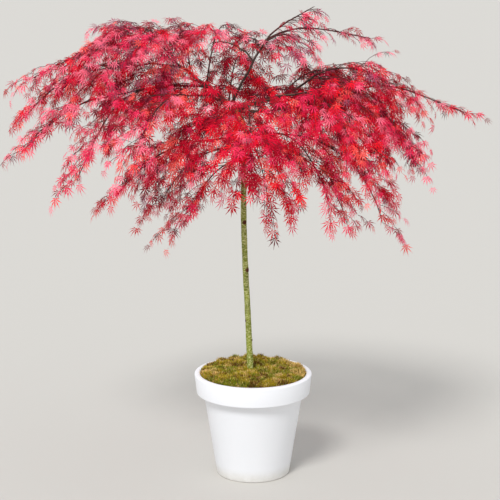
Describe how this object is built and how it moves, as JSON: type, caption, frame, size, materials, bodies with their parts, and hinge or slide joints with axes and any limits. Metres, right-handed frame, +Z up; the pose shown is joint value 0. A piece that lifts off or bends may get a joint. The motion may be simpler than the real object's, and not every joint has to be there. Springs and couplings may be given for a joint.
{
  "type": "potted japanese maple",
  "caption": "Weeping laceleaf maple in red leaf on a straight green stem, growing in a round white planter with a cap of moss.",
  "frame": {"origin": "middle of the planter's flat underside", "axes": "+Z up along the stem, +X along the crown's width to its right, +Y to the crown's back"},
  "size_m": [1.6758, 1.2664, 1.5877],
  "materials": {
    "planter": "white satin glaze, slightly dusty",
    "compost": "moist dark potting compost",
    "moss": "matt cushions of olive and yellow moss",
    "trunk_bark": "smooth olive green bark with pale lenticels",
    "bough_bark": "smooth dark brown bark",
    "twig_bark": "thin red brown twigs",
    "foliage_crimson": "crimson leaves",
    "foliage_scarlet": "scarlet leaves",
    "foliage_maroon": "dark maroon leaves",
    "foliage_coral": "orange red leaves"
  },
  "bodies": {
    "root": {"planter": "planter", "compost": "compost", "moss": "moss", "trunk": "trunk_bark", "bough_left": "bough_bark", "bough_left_level": "bough_bark", "bough_left_low": "bough_bark", "bough_upright": "bough_bark", "bough_upright_left": "bough_bark", "bough_right": "bough_bark", "bough_right_long": "bough_bark", "bough_right_low": "bough_bark", "bough_left_drop": "bough_bark", "bough_front_left": "bough_bark", "bough_front": "bough_bark", "bough_front_right": "bough_bark", "bough_back_right": "bough_bark", "bough_back": "bough_bark", "bough_back_left": "bough_bark", "left_crest": "foliage_crimson", "left_crest_front": "foliage_scarlet", "left_crest_back": "foliage_maroon", "left_shoot": "foliage_coral", "crest_middle": "foliage_crimson", "left_long": "foliage_scarlet", "left_long_front": "foliage_maroon", "left_long_back": "foliage_coral", "left_low": "foliage_crimson", "left_low_front": "foliage_scarlet", "left_skirt": "foliage_maroon", "left_skirt_inner": "foliage_coral", "left_skirt_back": "foliage_crimson", "crest_front": "foliage_scarlet", "centre_left": "foliage_maroon", "centre_left_low": "foliage_coral", "centre_back": "foliage_crimson", "centre_right": "foliage_scarlet", "top_right": "foliage_maroon", "top_right_twig": "foliage_coral", "top_right_front": "foliage_crimson", "top_centre": "foliage_scarlet", "top_back": "foliage_maroon", "right_arch": "foliage_coral", "right_arch_front": "foliage_crimson", "right_arch_back": "foliage_scarlet", "right_long": "foliage_maroon", "right_long_front": "foliage_coral", "right_long_back": "foliage_crimson", "right_skirt": "foliage_scarlet", "right_skirt_front": "foliage_maroon", "right_skirt_back": "foliage_coral", "front_left": "foliage_crimson", "front": "foliage_scarlet", "front_right": "foliage_maroon", "front_skirt": "foliage_coral", "back_right": "foliage_crimson", "back": "foliage_scarlet", "back_left": "foliage_maroon"}
  },
  "joints": []
}
